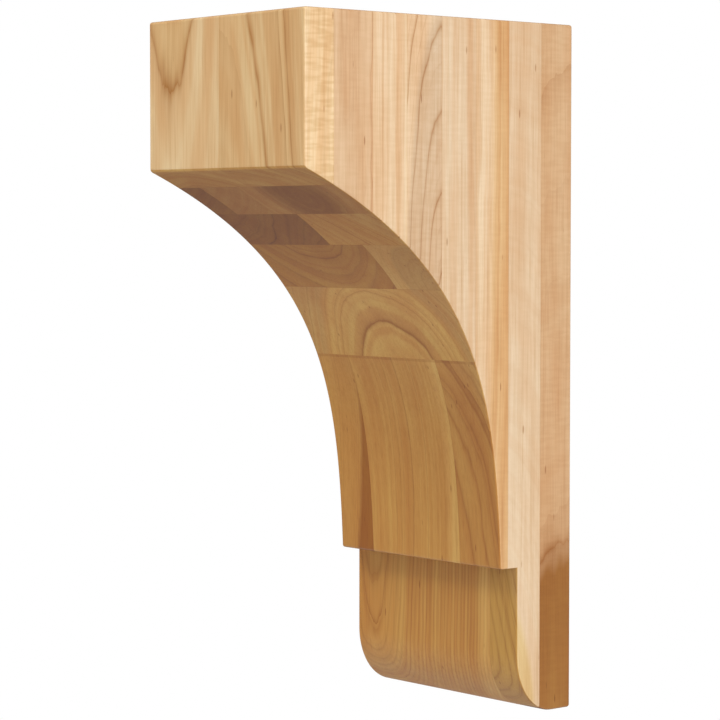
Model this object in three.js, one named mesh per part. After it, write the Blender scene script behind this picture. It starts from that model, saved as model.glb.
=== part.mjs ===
import * as THREE from 'three';

// Wooden corbel bracket, in millimetres. X runs across its width, Y = 0 is the flat back
// that lies on the wall, the corbel stands out towards -Y, and +Z is up. The origin is the
// middle of the back. The blank is glued up from boards and then cut and sanded as one
// solid: a square head, a long cove, a narrow ledge and a tail with a rounded toe.

// Overall sizes: 5 in wide, 7 in out from the wall and 14 in high.
const width = 127;
const projection = 177.8;
const height = 355.6;

// The head is the upright front face above the cove.
const headHeight = 76.2;

// The tail is the thin lower end that lies along the wall.
const tailThickness = 38.1;
const tailHeight = 76.2;

// The cove ends in a flat ledge that stands out past the tail.
const ledgeDepth = 11.7;

// The cove is a cubic curve. It leaves the head at a slant and lands almost upright.
// Its two handles are shares of the cove's own depth and drop.
const coveLeaving = { depth: 0.9, drop: 0.243 };
const coveLanding = { depth: 0.97, drop: 0.575 };
const coveSteps = 36;

// The toe at the foot of the tail is a quarter of an ellipse.
const toeDepth = 25;
const toeRise = 31;
const toeSteps = 14;

// All outside edges are sanded round: the edges across the width by a little more
// than those round the two side faces.
const crossEdgeRadius = 1.5;
const sideEdgeRadius = 1.2;
const edgeSteps = 4;

// Satin varnished maple.
const woodColour = 0xd3a877;
const woodRoughness = 0.45;

// Heights and reaches that follow from the sizes above.
const top = height / 2;
const bottom = -height / 2;
const headFoot = top - headHeight;
const ledgeLevel = bottom + tailHeight;
const ledgeReach = tailThickness + ledgeDepth;
const coveDepth = projection - ledgeReach;
const coveDrop = headFoot - ledgeLevel;

// A place in the side view: out from the wall, and up.
function place(reach, level) {
  return new THREE.Vector2(-reach, level);
}

function covePoints() {
  const onCove = (share) =>
    place(projection - coveDepth * share.depth, headFoot - coveDrop * share.drop);
  const cove = new THREE.CubicBezierCurve(
    onCove({ depth: 0, drop: 0 }),
    onCove(coveLeaving),
    onCove(coveLanding),
    onCove({ depth: 1, drop: 1 })
  );
  return cove.getPoints(coveSteps);
}

// From the tail's face down and round to its flat underside.
function toePoints() {
  const toe = new THREE.EllipseCurve(
    toeDepth - tailThickness,
    bottom + toeRise,
    toeDepth,
    toeRise,
    Math.PI,
    1.5 * Math.PI
  );
  return toe.getPoints(toeSteps);
}

// The arc that takes the place of a sharp corner between its two neighbours.
function roundedCorner(before, corner, after) {
  const towardsBefore = before.clone().sub(corner).normalize();
  const towardsAfter = after.clone().sub(corner).normalize();
  const halfAngle = Math.acos(towardsBefore.dot(towardsAfter)) / 2;
  const cutBack = crossEdgeRadius / Math.tan(halfAngle);
  const centre = towardsBefore
    .clone()
    .add(towardsAfter)
    .setLength(crossEdgeRadius / Math.sin(halfAngle))
    .add(corner);
  const start = towardsBefore.multiplyScalar(cutBack).add(corner).sub(centre);
  const end = towardsAfter.multiplyScalar(cutBack).add(corner).sub(centre);
  const arc = new THREE.EllipseCurve(
    centre.x,
    centre.y,
    crossEdgeRadius,
    crossEdgeRadius,
    start.angle(),
    end.angle()
  );
  return arc.getPoints(edgeSteps);
}

// The side view, anticlockwise from the top of the back. The corner where the ledge
// meets the tail is the one corner that stays sharp.
function sideOutline() {
  const cove = covePoints();
  const toe = toePoints();
  const backTop = place(0, top);
  const frontTop = place(projection, top);
  const coveStart = cove[0];
  const coveEnd = cove[cove.length - 1];
  const ledgeRoot = place(tailThickness, ledgeLevel);
  const backBottom = place(0, bottom);
  const outline = [
    ...roundedCorner(backBottom, backTop, frontTop),
    ...roundedCorner(backTop, frontTop, coveStart),
    ...roundedCorner(frontTop, coveStart, cove[1]),
    ...cove.slice(1, -1),
    ...roundedCorner(cove[cove.length - 2], coveEnd, ledgeRoot),
    ledgeRoot,
    ...toe,
    ...roundedCorner(toe[toe.length - 1], backBottom, backTop)
  ];
  return new THREE.Shape(outline);
}

// The side view pushed across the width, with the edges of both side faces rounded.
function corbelGeometry() {
  return new THREE.ExtrudeGeometry(sideOutline(), {
    depth: width - 2 * sideEdgeRadius,
    steps: 1,
    bevelEnabled: true,
    bevelThickness: sideEdgeRadius,
    bevelSize: sideEdgeRadius,
    bevelOffset: -sideEdgeRadius,
    bevelSegments: edgeSteps
  });
}

const wood = new THREE.MeshStandardMaterial({
  color: woodColour,
  roughness: woodRoughness,
  metalness: 0
});

// The outline is drawn in the YZ plane and pushed along +X, centred on the width.
const corbel = new THREE.Mesh(corbelGeometry(), wood);
corbel.name = 'corbel';
corbel.rotation.set(Math.PI / 2, 0, Math.PI / 2, 'ZYX');
corbel.position.x = sideEdgeRadius - width / 2;

const part = new THREE.Group();
part.add(corbel);

export default part;
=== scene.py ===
"""Wooden corbel bracket: a maple blank glued up from boards, shaped and varnished.

The CAD node `corbel` gives the size and place. One finished piece stands for it: the
same shape with its edges sanded round, in maple whose growth rings run through each
glued strip in three dimensions, so side grain, face grain and end grain all agree.
"""

import math
from collections import namedtuple

import bmesh
import bpy
from bpy.props import FloatProperty
from bpy.props import FloatVectorProperty
from bpy.props import IntProperty
from bpy.props import PointerProperty
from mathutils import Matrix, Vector


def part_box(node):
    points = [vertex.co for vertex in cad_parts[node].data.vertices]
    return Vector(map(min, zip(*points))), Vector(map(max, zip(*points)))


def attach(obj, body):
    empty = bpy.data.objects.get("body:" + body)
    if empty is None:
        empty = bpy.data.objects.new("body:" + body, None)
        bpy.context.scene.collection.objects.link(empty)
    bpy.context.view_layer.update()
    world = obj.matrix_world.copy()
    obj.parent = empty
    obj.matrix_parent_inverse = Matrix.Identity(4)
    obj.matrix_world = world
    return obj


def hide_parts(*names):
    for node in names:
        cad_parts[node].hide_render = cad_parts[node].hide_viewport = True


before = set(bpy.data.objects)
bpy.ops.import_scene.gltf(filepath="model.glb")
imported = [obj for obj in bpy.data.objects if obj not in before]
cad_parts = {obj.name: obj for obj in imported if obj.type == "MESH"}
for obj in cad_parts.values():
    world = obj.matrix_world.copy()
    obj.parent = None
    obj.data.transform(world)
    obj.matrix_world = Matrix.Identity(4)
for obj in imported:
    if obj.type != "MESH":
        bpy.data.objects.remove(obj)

bl_info = {
    "name": "Wooden corbel bracket",
    "version": (1, 0, 0),
    "blender": (4, 5, 0),
    "location": "View3D > Sidebar > Corbel",
    "description": "Builds a glued-up maple corbel bracket and the studio around it",
    "category": "Object",
}

MM = 0.001
NODE = "corbel"
LOW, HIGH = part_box(NODE)
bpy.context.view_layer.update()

# The blank. Board joints lie parallel to the wall, at these distances from it.
BOARD_JOINTS = (22.2, 45.0, 67.5, 90.5, 113.5, 135.5, 160.0)

# Tones of the bare wood, as the colour of a broad area in each kind of wood.
PEARL = (0.82, 0.67, 0.46)
BUFF = (0.80, 0.63, 0.40)
GOLD = (0.79, 0.62, 0.385)
SAND = (0.74, 0.57, 0.39)
CREAM = (0.75, 0.60, 0.42)
DUN = (0.69, 0.535, 0.37)
SMOKE = (0.64, 0.49, 0.34)
STRAW = (0.76, 0.59, 0.35)
PINK = (0.67, 0.475, 0.30)
TAN = (0.68, 0.46, 0.24)
AMBER = (0.74, 0.54, 0.31)
FAWN = (0.61, 0.41, 0.24)
HONEY = (0.72, 0.51, 0.28)
OLIVE = (0.65, 0.48, 0.24)
RUST = (0.575, 0.365, 0.135)
BARK = (0.33, 0.15, 0.03)
COPPER = (0.42, 0.19, 0.03)
UMBER = (0.41, 0.22, 0.065)

# One strip of a board. Lengths are in millimetres, from the middle of the face at the wall.
#   edge: where its right-hand edge is across the width
#   heart: where the tree's heart passes it at mid-height, across the width and in depth
#   lean: how far the heart moves in each direction for each millimetre upwards
#   ring: width of a year's growth
#   line: radius of a bold ring, how far apart such rings are, and how dark they are;
#         a negative darkness fades towards the heart instead of away from it
#   sap: radius at which heartwood turns to sapwood, and the width of that change
#   tones: colours of the heartwood and of the sapwood
#   wave: how far the rings wander
#   curl: strength of the shimmer across the grain
#   shade: how far the shade beside a bold ring reaches; under 1, its line is thinner too
#   side: how strong the rings are on the side faces, as a share of elsewhere
#   draw: which of the chance numbers it takes, or none for the one of its own place
FIELDS = "edge heart lean ring line sap tones wave curl shade side draw"
Strip = namedtuple("Strip", FIELDS, defaults=(3, 0.35, None))

# From the wall out, each board's strips from left to right.
BOARDS = (
    (
        Strip(-22, (-60, -60), (0, 0.02), 3.4, (30, 40, 0.3), (70, 12), (TAN, STRAW), 3, 0.2),
        Strip(50, (20, 45), (0.05, 0.05), 3.4, (30, 17, 0.3), (60, 12), (TAN, HONEY), 3, 0.2),
        Strip(
            99, (-168, 14), (-0.12, 0), 9, (222, 60, 0.9), (221.5, 2.2), (BARK, FAWN),
            2, 0.3, 2, side=1,
        ),
    ),
    (
        Strip(
            -6.5, (-50, -50), (0, 0.08), 2.5, (21.2, 2.5, 0.6), (88, 3), (AMBER, PEARL),
            0.8, 0.1, 1, draw=4,
        ),
        Strip(
            42.8, (-50, -50), (0, 0.08), 2.5, (21.2, 2.5, 0.6), (88, 3), (HONEY, PEARL),
            0.8, 0.1, 1, draw=4,
        ),
        Strip(
            99, (-13.5, -53), (-0.33, 0.05), 2.5, (30.6, 4.3, 0.7), (41, 4), (OLIVE, DUN),
            1, 0.1, 1, side=0.1,
        ),
    ),
    (
        Strip(
            -36.7, (-108.3, -62), (0.14, 0), 3.0, (73, 60, 0.5), (74, 3), (TAN, COPPER),
            1.5, 0.1,
        ),
        Strip(32.8, (-70, -40), (0.06, 0), 3.2, (40, 50, 0.1), (100, 3), (HONEY, PEARL), 1.5, 0.1),
        Strip(99, (0, 20), (0, 0.02), 5.2, (86, 5.5, 0.6), (101, 5), (TAN, CREAM), 3, 0.2, 2),
    ),
    (
        Strip(99, (4, -34), (0, 0), 5.0, (44.2, 70, 1.7), (65, 4), (GOLD, DUN), 2, 0.2, 5),
    ),
    (
        Strip(29.5, (-13, -150), (0, 0.02), 2.6, (25, 9, 0.8), (90, 20), (RUST, RUST), 2.5, 0.2),
        Strip(
            99, (69.9, -90), (-0.167, 0), 2.4, (9, 6.6, 0.4), (24, 3), (SMOKE, SAND),
            1.8, 0.3, 0.5, side=2.6, draw=26,
        ),
    ),
    (
        Strip(4, (-80, -210), (0, 0), 2.4, (60, 8, 1.0), (160, 20), (UMBER, UMBER), 4, 0.2),
        Strip(99, (120, -200), (0, 0), 2.4, (60, 30, 0.1), (104, 6), (CREAM, HONEY), 2, 0.2),
    ),
    (
        Strip(-44.8, (-90, -230), (0, 0), 2.3, (50, 40, 0.2), (160, 10), (UMBER, TAN), 2, 0.1),
        Strip(-14.3, (-70, -210), (0, 0), 2.3, (50, 40, 0.2), (160, 10), (FAWN, FAWN), 2, 0.1),
        Strip(
            99, (26, -150), (0, 0), 2.3, (37.4, 70, 0.3), (24, 18), (UMBER, PINK),
            1, 0.2, 1.5, side=1,
        ),
    ),
    (
        Strip(
            -4, (-45, -109.4), (0, -0.06), 30, (60, 60, -1.0), (60, 1), (AMBER, PEARL),
            1.2, 0.1, 0.8, draw=33,
        ),
        Strip(
            99, (-5, -131), (0, 0.093), 7.0, (68, 13.7, 1.0), (92, 3), (BUFF, HONEY),
            1.5, 0.8, 12, draw=44,
        ),
    ),
)

# Blobs of each pattern in the wood, in millimetres across, in depth and up the grain.
SLOW_WANDER_SIZE = (38, 38, 120)
QUICK_WANDER_SIZE = (6, 6, 30)
PATCH_SIZE = (14, 14, 34)
CLOUD_SIZE = (16, 16, 130)
BROAD_FIBRE_SIZE = (1.5, 1.5, 70)
FINE_FIBRE_SIZE = (0.42, 0.42, 26)
SHIMMER_SIZE = (11, 11, 1.9)
FLECK_SIZE = (6, 6, 30)

# What each pattern multiplies the wood's colour by where it is strongest.
CLOUD_TINT = (0.91, 0.80, 0.70)
YEARS_TINT = (0.93, 0.83, 0.74)
BROAD_FIBRE_TINT = (0.90, 0.84, 0.77)
FINE_FIBRE_TINT = (0.92, 0.87, 0.82)
SHIMMER_TINT = (0.86, 0.80, 0.70)

# How far the strips' patterns lie from one another, in millimetres, at most.
SEED_SPREAD = 100.0

# Edges that turn by more than this are shaded sharp.
SHARP_TURN = math.radians(60)

PAPER_TONE = (0.86, 0.85, 0.83)
PAPER_TOOTH_SIZE = (2, 2, 2)


class CorbelShape(bpy.types.PropertyGroup):
    """Sizes of the corbel that its overall box doesn't give."""

    head_height: FloatProperty(
        name="Head height",
        description="Height of the upright front face above the cove",
        default=0.0762,
        min=0.01,
        unit="LENGTH",
        subtype="DISTANCE",
    )
    tail_thickness: FloatProperty(
        name="Tail thickness",
        description="Distance from the wall to the face of the tail",
        default=0.0381,
        min=0.005,
        unit="LENGTH",
        subtype="DISTANCE",
    )
    tail_height: FloatProperty(
        name="Tail height",
        description="Height of the ledge above the foot of the tail",
        default=0.0762,
        min=0.01,
        unit="LENGTH",
        subtype="DISTANCE",
    )
    ledge_depth: FloatProperty(
        name="Ledge depth",
        description="How far the foot of the cove stands out past the tail",
        default=0.0117,
        min=0.002,
        unit="LENGTH",
        subtype="DISTANCE",
    )
    toe_depth: FloatProperty(
        name="Toe depth",
        description="Depth of the rounding under the tail's front",
        default=0.025,
        min=0.002,
        unit="LENGTH",
        subtype="DISTANCE",
    )
    toe_rise: FloatProperty(
        name="Toe rise",
        description="Height of the rounding under the tail's front",
        default=0.031,
        min=0.002,
        unit="LENGTH",
        subtype="DISTANCE",
    )
    cross_edge: FloatProperty(
        name="Cross edge radius",
        description="Sanded radius of the edges that run across the width",
        default=0.0015,
        min=0.0002,
        unit="LENGTH",
        subtype="DISTANCE",
    )
    side_edge: FloatProperty(
        name="Side edge radius",
        description="Sanded radius of the edges round the two side faces",
        default=0.0012,
        min=0.0002,
        unit="LENGTH",
        subtype="DISTANCE",
    )
    cove_steps: IntProperty(
        name="Cove steps",
        description="Straight steps that draw the cove",
        default=120,
        min=12,
    )
    toe_steps: IntProperty(
        name="Toe steps",
        description="Straight steps that draw the toe",
        default=28,
        min=6,
    )


class MapleLook(bpy.types.PropertyGroup):
    """Colours and finish of the varnished maple."""

    ring_tint: FloatVectorProperty(
        name="Ring tint",
        description="What a bold growth ring multiplies the wood's colour by",
        default=(0.58, 0.38, 0.18),
        size=3,
        min=0,
        max=1,
        subtype="COLOR",
    )
    end_tint: FloatVectorProperty(
        name="End grain tint",
        description="What end grain, which drinks varnish, multiplies the colour by",
        default=(0.57, 0.50, 0.46),
        size=3,
        min=0,
        max=1,
        subtype="COLOR",
    )
    # Partly painted shade: this also deepens every face but the two sides, standing in for the
    # sides taking more light.
    face_tint: FloatVectorProperty(
        name="Face grain tint",
        description="What the broad face of a board multiplies the colour by",
        default=(0.99, 0.96, 0.88),
        size=3,
        min=0,
        max=1,
        subtype="COLOR",
    )
    # Partly painted shade: besides the cut fibres drinking varnish, this tint stands in for the
    # shade under the head's overhang.
    shaped_tint: FloatVectorProperty(
        name="Shaped face tint",
        description="What the cove, tail and toe, cut across the fibres, multiply the colour by",
        default=(0.77, 0.615, 0.295),
        size=3,
        min=0,
        max=1,
        subtype="COLOR",
    )
    fleck_tint: FloatVectorProperty(
        name="Fleck tint",
        description="What a pith fleck multiplies the colour by",
        default=(0.55, 0.38, 0.24),
        size=3,
        min=0,
        max=1,
        subtype="COLOR",
    )
    glue_tint: FloatVectorProperty(
        name="Glue line tint",
        description="What a glue line multiplies the colour by",
        default=(0.87, 0.79, 0.70),
        size=3,
        min=0,
        max=1,
        subtype="COLOR",
    )
    roughness: FloatProperty(
        name="Roughness",
        description="Roughness of the satin varnish over flat grain",
        default=0.44,
        min=0,
        max=1,
        subtype="FACTOR",
    )
    seed: IntProperty(
        name="Seed",
        description="Chooses the small differences between strips",
        default=7,
        min=0,
    )


class StudioSetup(bpy.types.PropertyGroup):
    """Camera, lights and floor."""

    camera_place: FloatVectorProperty(
        name="Camera place",
        description="Where the camera stands",
        default=(1.0202, -0.94758, 0.07147),
        size=3,
        unit="LENGTH",
        subtype="TRANSLATION",
    )
    camera_turn: FloatProperty(
        name="Camera turn",
        description="Angle from straight ahead of the corbel round to its right side",
        default=math.radians(49.96),
        unit="ROTATION",
        subtype="ANGLE",
    )
    camera_dip: FloatProperty(
        name="Camera dip",
        description="How far the camera looks down",
        default=math.radians(2.868),
        unit="ROTATION",
        subtype="ANGLE",
    )
    lens: FloatProperty(
        name="Lens",
        description="Focal length in millimetres for a 36 mm wide frame",
        default=129.0,
        min=10,
    )
    floor_level: FloatProperty(
        name="Floor level",
        description="Height of the floor, below the hanging corbel",
        default=-0.42,
        unit="LENGTH",
        subtype="DISTANCE",
    )
    floor_radius: FloatProperty(
        name="Floor radius",
        description="Radius of the round floor",
        default=0.9,
        unit="LENGTH",
        subtype="DISTANCE",
    )
    key_power: FloatProperty(
        name="Key power",
        description="Power of the large lamp on the corbel's right",
        default=38,
        min=0,
        unit="POWER",
    )
    fill_power: FloatProperty(
        name="Fill power",
        description="Power of the large lamp high in front",
        default=18,
        min=0,
        unit="POWER",
    )
    bounce_power: FloatProperty(
        name="Bounce power",
        description="Power of the warm lamp low in front, which lights the cove from below",
        default=1.4,
        min=0,
        unit="POWER",
    )
    back_power: FloatProperty(
        name="Back power",
        description="Power of the large lamp behind, for the back and the left side",
        default=18,
        min=0,
        unit="POWER",
    )
    sky: FloatProperty(
        name="Room light",
        description="Strength of the even light from all round",
        default=0.34,
        min=0,
    )


def cove_curve(start, end):
    """Points of the cubic that leaves the head at a slant and lands almost upright."""
    shape = bpy.context.scene.corbel_shape
    # Places of the two handles, as shares of the cove's depth and drop.
    leaving = (0.9, 0.243)
    landing = (0.97, 0.575)
    depth = end[0] - start[0]
    drop = end[1] - start[1]
    handles = [
        Vector(start),
        Vector((start[0] + leaving[0] * depth, start[1] + leaving[1] * drop)),
        Vector((start[0] + landing[0] * depth, start[1] + landing[1] * drop)),
        Vector(end),
    ]
    points = []
    for step in range(shape.cove_steps + 1):
        t = step / shape.cove_steps
        weights = ((1 - t) ** 3, 3 * t * (1 - t) ** 2, 3 * t * t * (1 - t), t**3)
        points.append(sum((w * h for w, h in zip(weights, handles)), Vector((0, 0))))
    return points


def toe_curve(start, depth, rise, steps):
    """Points of the quarter ellipse from the tail's face to its underside."""
    centre = Vector((start[0] + depth, start[1]))
    points = []
    for step in range(steps + 1):
        angle = math.pi * (1 + 0.5 * step / steps)
        points.append(centre + Vector((depth * math.cos(angle), rise * math.sin(angle))))
    return points


def side_outline():
    """The side view as (y, z, eased), from the head's top front round to the wall's top."""
    shape = bpy.context.scene.corbel_shape
    front = LOW.y
    wall = HIGH.y
    head_foot = (front, HIGH.z - shape.head_height)
    tail_face = wall - shape.tail_thickness
    ledge_level = LOW.z + shape.tail_height
    ledge_end = (tail_face - shape.ledge_depth, ledge_level)
    toe_start = (tail_face, LOW.z + shape.toe_rise)
    cove = cove_curve(head_foot, ledge_end)
    toe = toe_curve(toe_start, shape.toe_depth, shape.toe_rise, shape.toe_steps)
    outline = [(front, HIGH.z, True), (*head_foot, True)]
    outline += [(*point, False) for point in cove[1:-1]]
    outline += [(*ledge_end, True), (tail_face, ledge_level, False)]
    outline += [(*point, False) for point in toe]
    outline += [(wall, LOW.z, True), (wall, HIGH.z, True)]
    return outline


def strip_at(x, y):
    """Number of the board, and of the strip in it, at a place across the width and in depth."""
    out = (HIGH.y - y) / MM
    board = sum(1 for joint in BOARD_JOINTS if joint < out)
    strip = sum(1 for candidate in BOARDS[board] if candidate.edge < x / MM)
    return board, strip


def corbel_mesh():
    """The corbel's plain shape, with the edges to ease weighted."""
    shape = bpy.context.scene.corbel_shape
    outline = side_outline()
    mesh = bpy.data.meshes.new("corbel_body")
    bm = bmesh.new()
    weight = bm.edges.layers.float.new("bevel_weight_edge")
    left = [bm.verts.new((LOW.x, y, z)) for y, z, _ in outline]
    right = [bm.verts.new((HIGH.x, y, z)) for y, z, _ in outline]
    bm.faces.new(left)
    bm.faces.new(right[::-1])
    for number in range(len(outline)):
        bm.faces.new((left[number - 1], right[number - 1], right[number], left[number]))
    bmesh.ops.recalc_face_normals(bm, faces=bm.faces)
    for edge in bm.edges:
        edge[weight] = shape.side_edge / shape.cross_edge
    for start, end, (_, _, eased) in zip(left, right, outline):
        across = bm.edges.get((start, end))
        across[weight] = 1.0 if eased else 0.0
    bm.to_mesh(mesh)
    bm.free()
    return mesh


def divide_at_joints(mesh):
    """Cut every face where a joint between boards or strips crosses it."""
    planes = [((0, HIGH.y - MM * joint, 0), (0, 1, 0)) for joint in BOARD_JOINTS]
    edges = {strip.edge for board in BOARDS for strip in board[:-1]}
    planes += [((MM * edge, 0, 0), (1, 0, 0)) for edge in sorted(edges)]
    bm = bmesh.new()
    bm.from_mesh(mesh)
    for place, normal in planes:
        parts = bm.verts[:] + bm.edges[:] + bm.faces[:]
        bmesh.ops.bisect_plane(bm, geom=parts, dist=1e-6, plane_co=place, plane_no=normal)
    for edge in bm.edges:
        edge.smooth = edge.calc_face_angle(0) < SHARP_TURN
    for face in bm.faces:
        face.smooth = True
    bm.to_mesh(mesh)
    bm.free()


def is_shaped(polygon):
    """Whether a face was cut after gluing: the cove, the ledge, the tail's face and the toe."""
    shape = bpy.context.scene.corbel_shape
    below_head = polygon.center.z < HIGH.z - shape.head_height + shape.cross_edge / 2
    on_back = polygon.normal.y >= 0.5
    on_side = abs(polygon.normal.x) >= 0.7
    return below_head and not on_back and not on_side


def is_toe(polygon):
    """Whether a face belongs to the rounding under the tail's front."""
    shape = bpy.context.scene.corbel_shape
    return is_shaped(polygon) and polygon.center.z < LOW.z + shape.toe_rise


def write_strip_facts(mesh):
    """Give every face the facts of the strip it is cut from, for the maple to read."""
    names = ("heart", "lean", "line", "sap", "wood", "sapwood", "low_edge", "high_edge")
    for name in names:
        mesh.attributes.new("strip_" + name, "FLOAT_VECTOR", "FACE")
    mesh.attributes.new("strip_number", "INT", "FACE")
    mesh.attributes.new("shaped", "FLOAT", "FACE")
    mesh.attributes.new("toe", "FLOAT", "FACE")
    layers = {name: mesh.attributes["strip_" + name] for name in names}
    number = mesh.attributes["strip_number"]
    shaped = mesh.attributes["shaped"]
    toe = mesh.attributes["toe"]
    # The blank's outer faces aren't joints, so the glue lines there are set well outside.
    outer = 10.0
    probe_depth = 0.0005
    for polygon in mesh.polygons:
        inside = polygon.center - probe_depth * polygon.normal
        board, place = strip_at(inside.x, inside.y)
        strip = BOARDS[board][place]
        left = BOARDS[board][place - 1].edge if place else LOW.x / MM - outer
        back = -BOARD_JOINTS[board - 1] if board else outer
        front = -BOARD_JOINTS[board] if board < len(BOARD_JOINTS) else LOW.y / MM - outer
        facts = {
            "heart": (*strip.heart, strip.ring),
            "lean": (*strip.lean, strip.wave),
            "line": strip.line,
            "sap": (*strip.sap, strip.curl),
            "wood": strip.tones[0],
            "sapwood": strip.tones[1],
            "low_edge": (left, front, strip.shade),
            "high_edge": (strip.edge, back, strip.side),
        }
        for name, values in facts.items():
            layers[name].data[polygon.index].vector = values
        own_place = 4 * board + place
        number.data[polygon.index].value = own_place if strip.draw is None else strip.draw
        shaped.data[polygon.index].value = float(is_shaped(polygon))
        toe.data[polygon.index].value = float(is_toe(polygon))


def strip_seed_tree(material):
    """Geometry Nodes that give each strip a chance number of its own, and its material."""
    tree = bpy.data.node_groups.new("Strip seeds", "GeometryNodeTree")
    tree.interface.new_socket("Geometry", in_out="INPUT", socket_type="NodeSocketGeometry")
    spread = tree.interface.new_socket("Spread", in_out="INPUT", socket_type="NodeSocketFloat")
    seed = tree.interface.new_socket("Seed", in_out="INPUT", socket_type="NodeSocketInt")
    tree.interface.new_socket("Geometry", in_out="OUTPUT", socket_type="NodeSocketGeometry")
    nodes = tree.nodes
    entry = nodes.new("NodeGroupInput")
    number = nodes.new("GeometryNodeInputNamedAttribute")
    number.data_type = "INT"
    number.inputs["Name"].default_value = "strip_number"
    chance = nodes.new("FunctionNodeRandomValue")
    chance.data_type = "FLOAT"
    store = nodes.new("GeometryNodeStoreNamedAttribute")
    store.data_type = "FLOAT"
    store.domain = "FACE"
    store.inputs["Name"].default_value = "strip_seed"
    real = nodes.new("GeometryNodeRealizeInstances")
    dress = nodes.new("GeometryNodeSetMaterial")
    dress.inputs["Material"].default_value = material
    leave = nodes.new("NodeGroupOutput")
    # The node has sockets of one name for each kind of number, so these go by their place.
    greatest_float = chance.inputs[3]
    drawn_float = chance.outputs[1]
    wires = (
        (entry.outputs["Geometry"], store.inputs["Geometry"]),
        (entry.outputs["Spread"], greatest_float),
        (entry.outputs["Seed"], chance.inputs["Seed"]),
        (number.outputs["Attribute"], chance.inputs["ID"]),
        (drawn_float, store.inputs["Value"]),
        (store.outputs["Geometry"], real.inputs["Geometry"]),
        (real.outputs["Geometry"], dress.inputs["Geometry"]),
        (dress.outputs["Geometry"], leave.inputs["Geometry"]),
    )
    for start, end in wires:
        tree.links.new(start, end)
    return tree, {"spread": spread.identifier, "seed": seed.identifier}


class Wiring:
    """Adds shader nodes to one tree. Plain numbers set a socket and sockets are linked."""

    def __init__(self, tree):
        self.tree = tree

    def feed(self, socket, value):
        """Link a socket to a socket, or set it to a plain value."""
        if isinstance(value, bpy.types.NodeSocket):
            self.tree.links.new(value, socket)
        elif isinstance(value, (tuple, list)) and socket.type == "RGBA":
            socket.default_value = (*value, 1.0)
        else:
            socket.default_value = value

    def node(self, kind, settings=None, **inputs):
        made = self.tree.nodes.new(kind)
        for name, value in (settings or {}).items():
            setattr(made, name, value)
        for name, value in inputs.items():
            self.feed(made.inputs[name.replace("_", " ")], value)
        return made

    def math(self, operation, *values, clamp=False):
        made = self.tree.nodes.new("ShaderNodeMath")
        made.operation = operation
        made.use_clamp = clamp
        for socket, value in zip(made.inputs, values):
            self.feed(socket, value)
        return made.outputs[0]

    def vector(self, operation, *values, scale=None):
        made = self.tree.nodes.new("ShaderNodeVectorMath")
        made.operation = operation
        for socket, value in zip(made.inputs, values):
            self.feed(socket, value)
        if scale is not None:
            self.feed(made.inputs["Scale"], scale)
        return made.outputs[1] if operation == "LENGTH" else made.outputs[0]

    def split(self, vector):
        made = self.tree.nodes.new("ShaderNodeSeparateXYZ")
        self.feed(made.inputs[0], vector)
        return made.outputs

    def join(self, x, y, z):
        made = self.tree.nodes.new("ShaderNodeCombineXYZ")
        for socket, value in zip(made.inputs, (x, y, z)):
            self.feed(socket, value)
        return made.outputs[0]

    def attribute(self, name):
        made = self.tree.nodes.new("ShaderNodeAttribute")
        made.attribute_name = name
        return made

    def facts(self, name):
        """The three numbers that each face carries under a name."""
        return self.split(self.attribute(name).outputs["Vector"])

    def noise(self, place, size, detail=2.0, roughness=0.5):
        """Noise whose blobs are `size` millimetres wide along each axis."""
        stretch = tuple(1 / length for length in size)
        made = self.node("ShaderNodeTexNoise", Scale=1.0, Detail=detail, Roughness=roughness)
        self.feed(made.inputs["Vector"], self.vector("MULTIPLY", place, stretch))
        return made

    def noise_along(self, distance, detail=1.0):
        """Noise along a single distance, with blobs one unit long."""
        made = self.node("ShaderNodeTexNoise", {"noise_dimensions": "1D"}, Scale=1.0)
        made.inputs["Detail"].default_value = detail
        self.feed(made.inputs["W"], distance)
        return made.outputs[0]

    def ramp(self, value, low, high, floor=0.0, ceiling=1.0):
        """Smooth step from `floor` at `low` to `ceiling` at `high`."""
        made = self.tree.nodes.new("ShaderNodeMapRange")
        made.interpolation_type = "SMOOTHSTEP"
        names = ("Value", "From Min", "From Max", "To Min", "To Max")
        for name, given in zip(names, (value, low, high, floor, ceiling)):
            self.feed(made.inputs[name], given)
        return made.outputs[0]

    def mix(self, share, first, second, blend="MIX"):
        """One colour laid over another. The node's colour sockets go by their place."""
        made = self.tree.nodes.new("ShaderNodeMix")
        made.data_type = "RGBA"
        made.blend_type = blend
        self.feed(made.inputs[0], share)
        self.feed(made.inputs[6], first)
        self.feed(made.inputs[7], second)
        return made.outputs[2]

    def tint(self, colour, multiplier, share):
        """The colour multiplied by another, by as much as `share` says."""
        return self.mix(share, colour, multiplier, "MULTIPLY")


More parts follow.
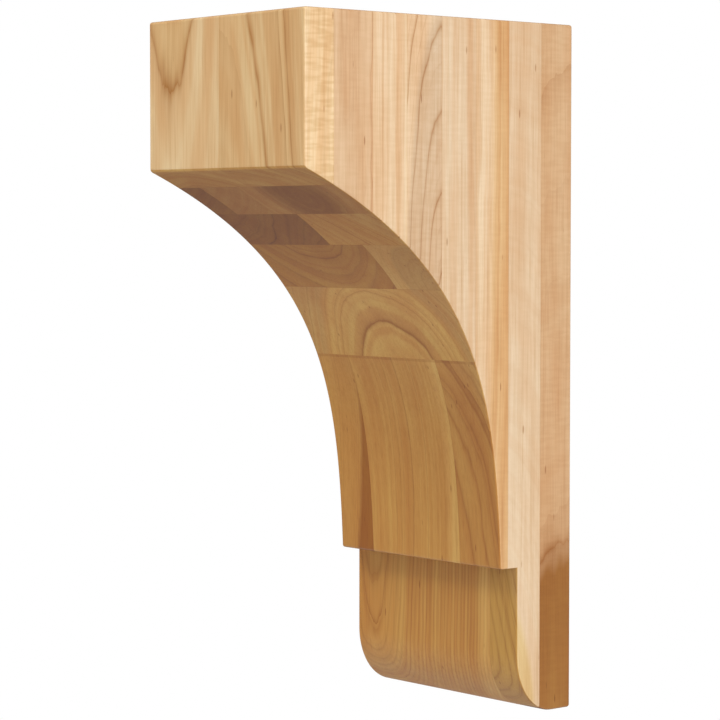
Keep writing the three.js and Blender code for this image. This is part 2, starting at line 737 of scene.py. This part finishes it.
def ring_radius(w, place, seed):
    """Distance from the tree's heart by the wandering rings, ring width, steadiness of tone."""
    slow_reach = 3.0
    quick_reach = 1.4
    mean = (0.5, 0.5, 0.5)
    heart = w.facts("strip_heart")
    lean = w.facts("strip_lean")
    at = w.split(place)
    shifted = w.vector("ADD", place, w.join(seed, seed, seed))
    slow = w.noise(shifted, SLOW_WANDER_SIZE, detail=3.0).outputs["Color"]
    quick = w.noise(shifted, QUICK_WANDER_SIZE, detail=2.0).outputs["Color"]
    slow_by = w.split(w.vector("SUBTRACT", slow, mean))
    quick_by = w.split(w.vector("SUBTRACT", quick, mean))
    sides = []
    for axis in (0, 1):
        offset = w.math("MULTIPLY", lean[axis], at[2])
        offset = w.math("ADD", offset, heart[axis])
        offset = w.math("SUBTRACT", at[axis], offset)
        wander = w.math("MULTIPLY", slow_by[axis], w.math("MULTIPLY", lean[2], slow_reach))
        offset = w.math("ADD", offset, wander)
        sides.append(w.math("MULTIPLY_ADD", quick_by[axis], quick_reach, offset))
    square = w.math("MULTIPLY_ADD", sides[0], sides[0], w.math("POWER", sides[1], 2))
    # Where the heart leans, broad bands along the rings would cut across a face, so they fade.
    slight_lean = 0.04
    strong_lean = 0.14
    steady = w.ramp(w.math("ABSOLUTE", lean[0]), slight_lean, strong_lean, 1.0, 0.3)
    return w.math("SQRT", square), heart[2], steady


def fine_rings(w, radius, spacing, seed):
    """Darkness of the thin ring that ends each year's growth; some years show more."""
    drift = 0.31
    unevenness = 2.4
    thinness = 9
    faintest = 0.12
    boldest = 0.97
    rarity = 3
    year = w.math("DIVIDE", radius, spacing)
    uneven = w.noise_along(w.math("MULTIPLY_ADD", year, drift, seed))
    year = w.math("MULTIPLY_ADD", uneven, unevenness, year)
    part = w.math("FRACT", year)
    whole = w.math("FLOOR", year)
    chance = w.node("ShaderNodeTexWhiteNoise", {"noise_dimensions": "1D"})
    w.feed(chance.inputs["W"], w.math("ADD", whole, seed))
    showing = w.math("POWER", chance.outputs[0], rarity)
    boldness = w.math("MULTIPLY_ADD", showing, boldest - faintest, faintest)
    return w.math("MULTIPLY", w.math("POWER", part, thinness), boldness)


def bold_lines(w, place, radius, normal, end_grain, side):
    """Darkness of the bold rings: a thin line, and a shade that fades off to one side."""
    sharpness = 2.2
    shade_share = 0.25
    lost_on_ends = 0.7
    first, apart, strength = w.facts("strip_line")
    shade = w.facts("strip_low_edge")[2]
    way = w.math("SIGN", strength)
    past = w.math("MULTIPLY", w.math("SUBTRACT", radius, first), way)
    past = w.math("MULTIPLY", w.math("FRACT", w.math("DIVIDE", past, apart)), apart)
    near = w.math("MINIMUM", past, w.math("SUBTRACT", apart, past))
    crispness = w.math("DIVIDE", -sharpness, w.math("MINIMUM", shade, 1.0))
    line = w.math("EXPONENT", w.math("MULTIPLY", near, crispness))
    fade = w.math("EXPONENT", w.math("DIVIDE", past, w.math("MULTIPLY", shade, -1.0)))
    line = w.math("MULTIPLY", line, 1 - shade_share)
    line = w.math("MULTIPLY_ADD", fade, shade_share, line)
    line = w.math("MULTIPLY", line, w.math("ABSOLUTE", strength))
    weakest_patch = 0.7
    strongest_patch = 1.05
    patches = w.noise(place, PATCH_SIZE).outputs[0]
    patches = w.ramp(patches, 0.35, 0.6, weakest_patch, strongest_patch)
    line = w.math("MULTIPLY", line, patches)
    line = w.math("MULTIPLY", line, w.ramp(normal[0], 0.2, 0.9, 1.0, side))
    return w.math("MULTIPLY", line, w.math("MULTIPLY_ADD", end_grain, -lost_on_ends, 1.0))


def glue_lines(w, place, normal):
    """1 on a joint between two strips or boards, and 0 a fraction of a millimetre off."""
    full_reach = 0.08
    last_reach = 0.25
    least_slope = 0.02
    low_edge = w.attribute("strip_low_edge").outputs["Vector"]
    high_edge = w.attribute("strip_high_edge").outputs["Vector"]
    low = w.split(w.vector("SUBTRACT", place, low_edge))
    high = w.split(w.vector("SUBTRACT", high_edge, place))
    distances = []
    for axis in (0, 1):
        flatness = w.math("MULTIPLY", normal[axis], normal[axis])
        slope = w.math("MAXIMUM", w.math("SUBTRACT", 1.0, flatness), least_slope)
        nearest = w.math("MINIMUM", low[axis], high[axis])
        distances.append(w.math("DIVIDE", nearest, w.math("SQRT", slope)))
    return w.ramp(w.math("MINIMUM", *distances), full_reach, last_reach, 1.0, 0.0)


def maple_material():
    """Satin varnished maple. Every pattern is solid, so it runs on round each edge."""
    look = bpy.context.scene.maple_look
    material = bpy.data.materials.new("maple")
    material.use_nodes = True
    tree = material.node_tree
    tree.nodes.clear()
    w = Wiring(tree)
    coordinates = tree.nodes.new("ShaderNodeTexCoord")
    place = w.vector("SCALE", coordinates.outputs["Object"], scale=1000.0)
    seed = w.attribute("strip_seed").outputs["Fac"]
    normal = w.split(w.vector("ABSOLUTE", coordinates.outputs["Normal"]))

    radius, spacing, steady = ring_radius(w, place, seed)
    rings = fine_rings(w, radius, spacing, seed)
    end_grain = w.ramp(normal[2], 0.5, 1.0)
    side = w.facts("strip_high_edge")[2]
    lines = bold_lines(w, place, radius, normal, end_grain, side)
    shifted = w.vector("ADD", place, w.join(seed, 0.0, seed))

    sap_at, sap_width, curl = w.facts("strip_sap")
    sap = w.math("DIVIDE", w.math("SUBTRACT", radius, sap_at), sap_width)
    sap = w.ramp(sap, -0.5, 0.5)
    wood = w.attribute("strip_wood").outputs["Color"]
    sapwood = w.attribute("strip_sapwood").outputs["Color"]
    colour = w.mix(sap, wood, sapwood)

    clouds = w.noise(shifted, CLOUD_SIZE, detail=3.0).outputs[0]
    colour = w.tint(colour, CLOUD_TINT, w.ramp(clouds, 0.3, 0.7))
    bands_per_millimetre = 0.22
    years = w.math("MULTIPLY_ADD", radius, bands_per_millimetre, seed)
    years = w.ramp(w.noise_along(years, detail=2.0), 0.38, 0.62)
    colour = w.tint(colour, YEARS_TINT, w.math("MULTIPLY", years, steady))

    broad_fibres = w.noise(shifted, BROAD_FIBRE_SIZE, detail=3.0, roughness=0.6).outputs[0]
    fine_fibres = w.noise(shifted, FINE_FIBRE_SIZE, detail=2.0, roughness=0.6).outputs[0]
    colour = w.tint(colour, BROAD_FIBRE_TINT, w.ramp(broad_fibres, 0.42, 0.78))
    colour = w.tint(colour, FINE_FIBRE_TINT, w.ramp(fine_fibres, 0.4, 0.75))

    # Painted sheen: the curl's shimmer, a play of light on the fibres, is drawn as darker bands
    # across the grain on the side faces.
    shimmer = w.noise(place, SHIMMER_SIZE, detail=1.0).outputs[0]
    shimmer = w.math("MULTIPLY", w.ramp(shimmer, 0.35, 0.65), curl)
    colour = w.tint(colour, SHIMMER_TINT, w.math("MULTIPLY", shimmer, normal[0]))

    rings_elsewhere = 0.8
    rings_on_sides = w.math("MINIMUM", w.math("MULTIPLY", side, 0.7), rings_elsewhere)
    showing = w.ramp(normal[0], 0.2, 0.9, rings_elsewhere, rings_on_sides)
    rings = w.math("MULTIPLY", rings, showing)
    dark = w.math("ADD", rings, lines, clamp=True)
    colour = w.tint(colour, tuple(look.ring_tint), dark)

    fleck_strength = 0.75
    cells = w.vector("MULTIPLY", shifted, tuple(1 / length for length in FLECK_SIZE))
    fleck = w.node("ShaderNodeTexVoronoi", Scale=1.0, Vector=cells).outputs["Distance"]
    fleck = w.math("MULTIPLY", w.ramp(fleck, 0.04, 0.10, 1.0, 0.0), fleck_strength)
    colour = w.tint(colour, tuple(look.fleck_tint), fleck)

    colour = w.tint(colour, tuple(look.glue_tint), glue_lines(w, place, normal))

    # Face grain tint, partly painted shade: faces turned away from the sides come out deeper and
    # warmer, as if the sides were better lit.
    off_sides = w.ramp(normal[0], 0.0, 1.0, 1.0, 0.0)
    colour = w.tint(colour, tuple(look.face_tint), off_sides)
    # Painted shade, partly: the faces below the head are darkened and warmed for their cut fibres
    # and for the shade the head casts over them.
    shaped = w.attribute("shaped").outputs["Fac"]
    colour = w.tint(colour, tuple(look.shaped_tint), shaped)
    # Painted shade, partly: the toe takes the end grain tint sooner than the cove as it turns
    # under, for its end grain and for the shade beneath it.
    toe = w.attribute("toe").outputs["Fac"]
    toe_share = 0.7
    toe_end_grain_and_shade = w.math("MULTIPLY", w.ramp(normal[2], 0.1, 0.9, 0.0, toe_share), toe)
    colour = w.tint(colour, tuple(look.end_tint), w.math("MAXIMUM", end_grain, toe_end_grain_and_shade))

    fibre_roughness = 0.16
    end_grain_roughness = 0.3
    ring_depth = 0.5
    flat_roughness = look.roughness - fibre_roughness / 2
    rough = w.math("MULTIPLY_ADD", fine_fibres, fibre_roughness, flat_roughness)
    rough = w.math("MULTIPLY_ADD", end_grain, end_grain_roughness, rough)
    height = w.math("MULTIPLY_ADD", dark, -ring_depth, fine_fibres)
    bump = w.node("ShaderNodeBump", Strength=0.35, Distance=0.00012, Height=height)

    shader = tree.nodes.new("ShaderNodeBsdfPrincipled")
    shader.inputs["IOR"].default_value = 1.46
    shader.inputs["Coat Weight"].default_value = 0.12
    shader.inputs["Coat Roughness"].default_value = 0.28
    w.feed(shader.inputs["Base Color"], colour)
    w.feed(shader.inputs["Roughness"], rough)
    w.feed(shader.inputs["Normal"], bump.outputs[0])
    output = tree.nodes.new("ShaderNodeOutputMaterial")
    tree.links.new(shader.outputs[0], output.inputs["Surface"])
    return material


def work_in_modifiers(piece):
    """Work the piece's modifiers into its mesh and take them off."""
    depsgraph = bpy.context.evaluated_depsgraph_get()
    plain = bpy.data.meshes.new_from_object(
        piece.evaluated_get(depsgraph),
        preserve_all_data_layers=True,
        depsgraph=depsgraph,
    )
    piece.modifiers.clear()
    piece.data = plain


class CORBEL_OT_corbel(bpy.types.Operator):
    """Build the corbel from its glued maple strips"""

    bl_idname = "corbel.build_corbel"
    bl_label = "Build corbel"

    def execute(self, context):
        look = context.scene.maple_look
        shape = context.scene.corbel_shape
        material = maple_material()
        piece = bpy.data.objects.new("maple_corbel", corbel_mesh())
        context.scene.collection.objects.link(piece)

        ease = piece.modifiers.new("Sanded edges", "BEVEL")
        ease.limit_method = "WEIGHT"
        ease.width = shape.cross_edge
        ease.segments = 4
        ease.use_clamp_overlap = False
        work_in_modifiers(piece)
        divide_at_joints(piece.data)
        write_strip_facts(piece.data)
        piece.data.materials.append(material)
        tree, sockets = strip_seed_tree(material)
        seeds = piece.modifiers.new("Strip seeds", "NODES")
        seeds.node_group = tree
        seeds[sockets["spread"]] = SEED_SPREAD
        seeds[sockets["seed"]] = look.seed
        work_in_modifiers(piece)
        if len(piece.data.materials) != 1:
            raise RuntimeError(f"the corbel carries {len(piece.data.materials)} materials")

        even = piece.modifiers.new("Even shading", "WEIGHTED_NORMAL")
        even.keep_sharp = True
        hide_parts(NODE)
        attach(piece, "root")
        return {"FINISHED"}


def paper_material():
    """Matt paper for the floor, with a faint tooth."""
    material = bpy.data.materials.new("pale_paper")
    material.use_nodes = True
    tree = material.node_tree
    w = Wiring(tree)
    shader = tree.nodes["Principled BSDF"]
    coordinates = tree.nodes.new("ShaderNodeTexCoord")
    place = w.vector("SCALE", coordinates.outputs["Object"], scale=1000.0)
    tooth = w.noise(place, PAPER_TOOTH_SIZE).outputs[0]
    hollows = tuple(0.97 * channel for channel in PAPER_TONE)
    w.feed(shader.inputs["Base Color"], w.mix(tooth, hollows, PAPER_TONE))
    shader.inputs["Roughness"].default_value = 0.8
    return material


def area_lamp(name, place, aim, size, power, colour):
    """A soft lamp at a place, turned towards what it lights."""
    data = bpy.data.lights.new(name, "AREA")
    data.shape = "RECTANGLE"
    data.size = size[0]
    data.size_y = size[1]
    data.energy = power
    data.color = colour
    lamp = bpy.data.objects.new(name, data)
    lamp.location = place
    lamp.rotation_euler = (Vector(aim) - Vector(place)).to_track_quat("-Z", "Y").to_euler()
    bpy.context.scene.collection.objects.link(lamp)


def room_light(strength):
    """Even light from all round, in front of a plain white ground."""
    world = bpy.data.worlds.new("studio")
    bpy.context.scene.world = world
    world.use_nodes = True
    tree = world.node_tree
    tree.nodes.clear()
    w = Wiring(tree)
    light = w.node("ShaderNodeBackground", Color=(1.0, 0.95, 0.88), Strength=strength)
    ground = w.node("ShaderNodeBackground", Color=(1.0, 1.0, 1.0), Strength=1.0)
    path = tree.nodes.new("ShaderNodeLightPath")
    choose = tree.nodes.new("ShaderNodeMixShader")
    output = tree.nodes.new("ShaderNodeOutputWorld")
    tree.links.new(path.outputs["Is Camera Ray"], choose.inputs[0])
    tree.links.new(light.outputs[0], choose.inputs[1])
    tree.links.new(ground.outputs[0], choose.inputs[2])
    tree.links.new(choose.outputs[0], output.inputs["Surface"])


class CORBEL_OT_stage(bpy.types.Operator):
    """Set up the floor, the lamps and the camera"""

    bl_idname = "corbel.build_stage"
    bl_label = "Build stage"

    def execute(self, context):
        studio = context.scene.studio_setup
        bpy.ops.mesh.primitive_circle_add(
            vertices=128,
            radius=studio.floor_radius,
            fill_type="NGON",
            location=(0, 0, studio.floor_level),
        )
        floor = context.object
        floor.name = "floor"
        floor.data.materials.append(paper_material())

        middle = (0, -0.08, 0)
        lamps = (
            ("key", (1.8, -0.4, 0.7), (1.3, 1.6), studio.key_power, (0.98, 1.0, 1.02)),
            ("fill", (-0.35, -1.1, 1.5), (1.0, 0.8), studio.fill_power, (1.0, 0.96, 0.84)),
            ("bounce", (-0.5, -1.0, -0.38), (0.9, 0.5), studio.bounce_power, (1.0, 0.86, 0.62)),
            ("back", (-1.3, 1.3, 0.9), (1.4, 1.4), studio.back_power, (1.0, 0.97, 0.92)),
        )
        for name, place, size, power, colour in lamps:
            area_lamp(name, place, middle, size, power, colour)
        room_light(studio.sky)

        data = bpy.data.cameras.new("camera")
        data.lens = studio.lens
        data.sensor_width = 36.0
        camera = bpy.data.objects.new("camera", data)
        turn = studio.camera_turn
        dip = studio.camera_dip
        ahead = Vector((-math.sin(turn), math.cos(turn), -math.tan(dip)))
        camera.location = studio.camera_place
        camera.rotation_euler = ahead.to_track_quat("-Z", "Y").to_euler()
        context.scene.collection.objects.link(camera)
        context.scene.camera = camera
        context.scene.view_settings.view_transform = "Standard"
        return {"FINISHED"}


class CORBEL_PT_panel(bpy.types.Panel):
    """Buttons and sizes for the corbel"""

    bl_idname = "CORBEL_PT_panel"
    bl_label = "Corbel bracket"
    bl_space_type = "VIEW_3D"
    bl_region_type = "UI"
    bl_category = "Corbel"

    def draw(self, context):
        layout = self.layout
        scene = context.scene
        layout.operator(CORBEL_OT_corbel.bl_idname)
        layout.operator(CORBEL_OT_stage.bl_idname)
        for group in (scene.corbel_shape, scene.maple_look, scene.studio_setup):
            box = layout.box()
            for name in group.bl_rna.properties.keys():
                if name not in {"rna_type", "name"}:
                    box.prop(group, name)


CLASSES = (
    CorbelShape,
    MapleLook,
    StudioSetup,
    CORBEL_OT_corbel,
    CORBEL_OT_stage,
    CORBEL_PT_panel,
)


def register():
    for cls in CLASSES:
        bpy.utils.register_class(cls)
    bpy.types.Scene.corbel_shape = PointerProperty(type=CorbelShape)
    bpy.types.Scene.maple_look = PointerProperty(type=MapleLook)
    bpy.types.Scene.studio_setup = PointerProperty(type=StudioSetup)


def unregister():
    del bpy.types.Scene.studio_setup
    del bpy.types.Scene.maple_look
    del bpy.types.Scene.corbel_shape
    for cls in reversed(CLASSES):
        bpy.utils.unregister_class(cls)


def main():
    register()
    bpy.ops.corbel.build_corbel()
    bpy.ops.corbel.build_stage()


if __name__ == "__main__":
    main()
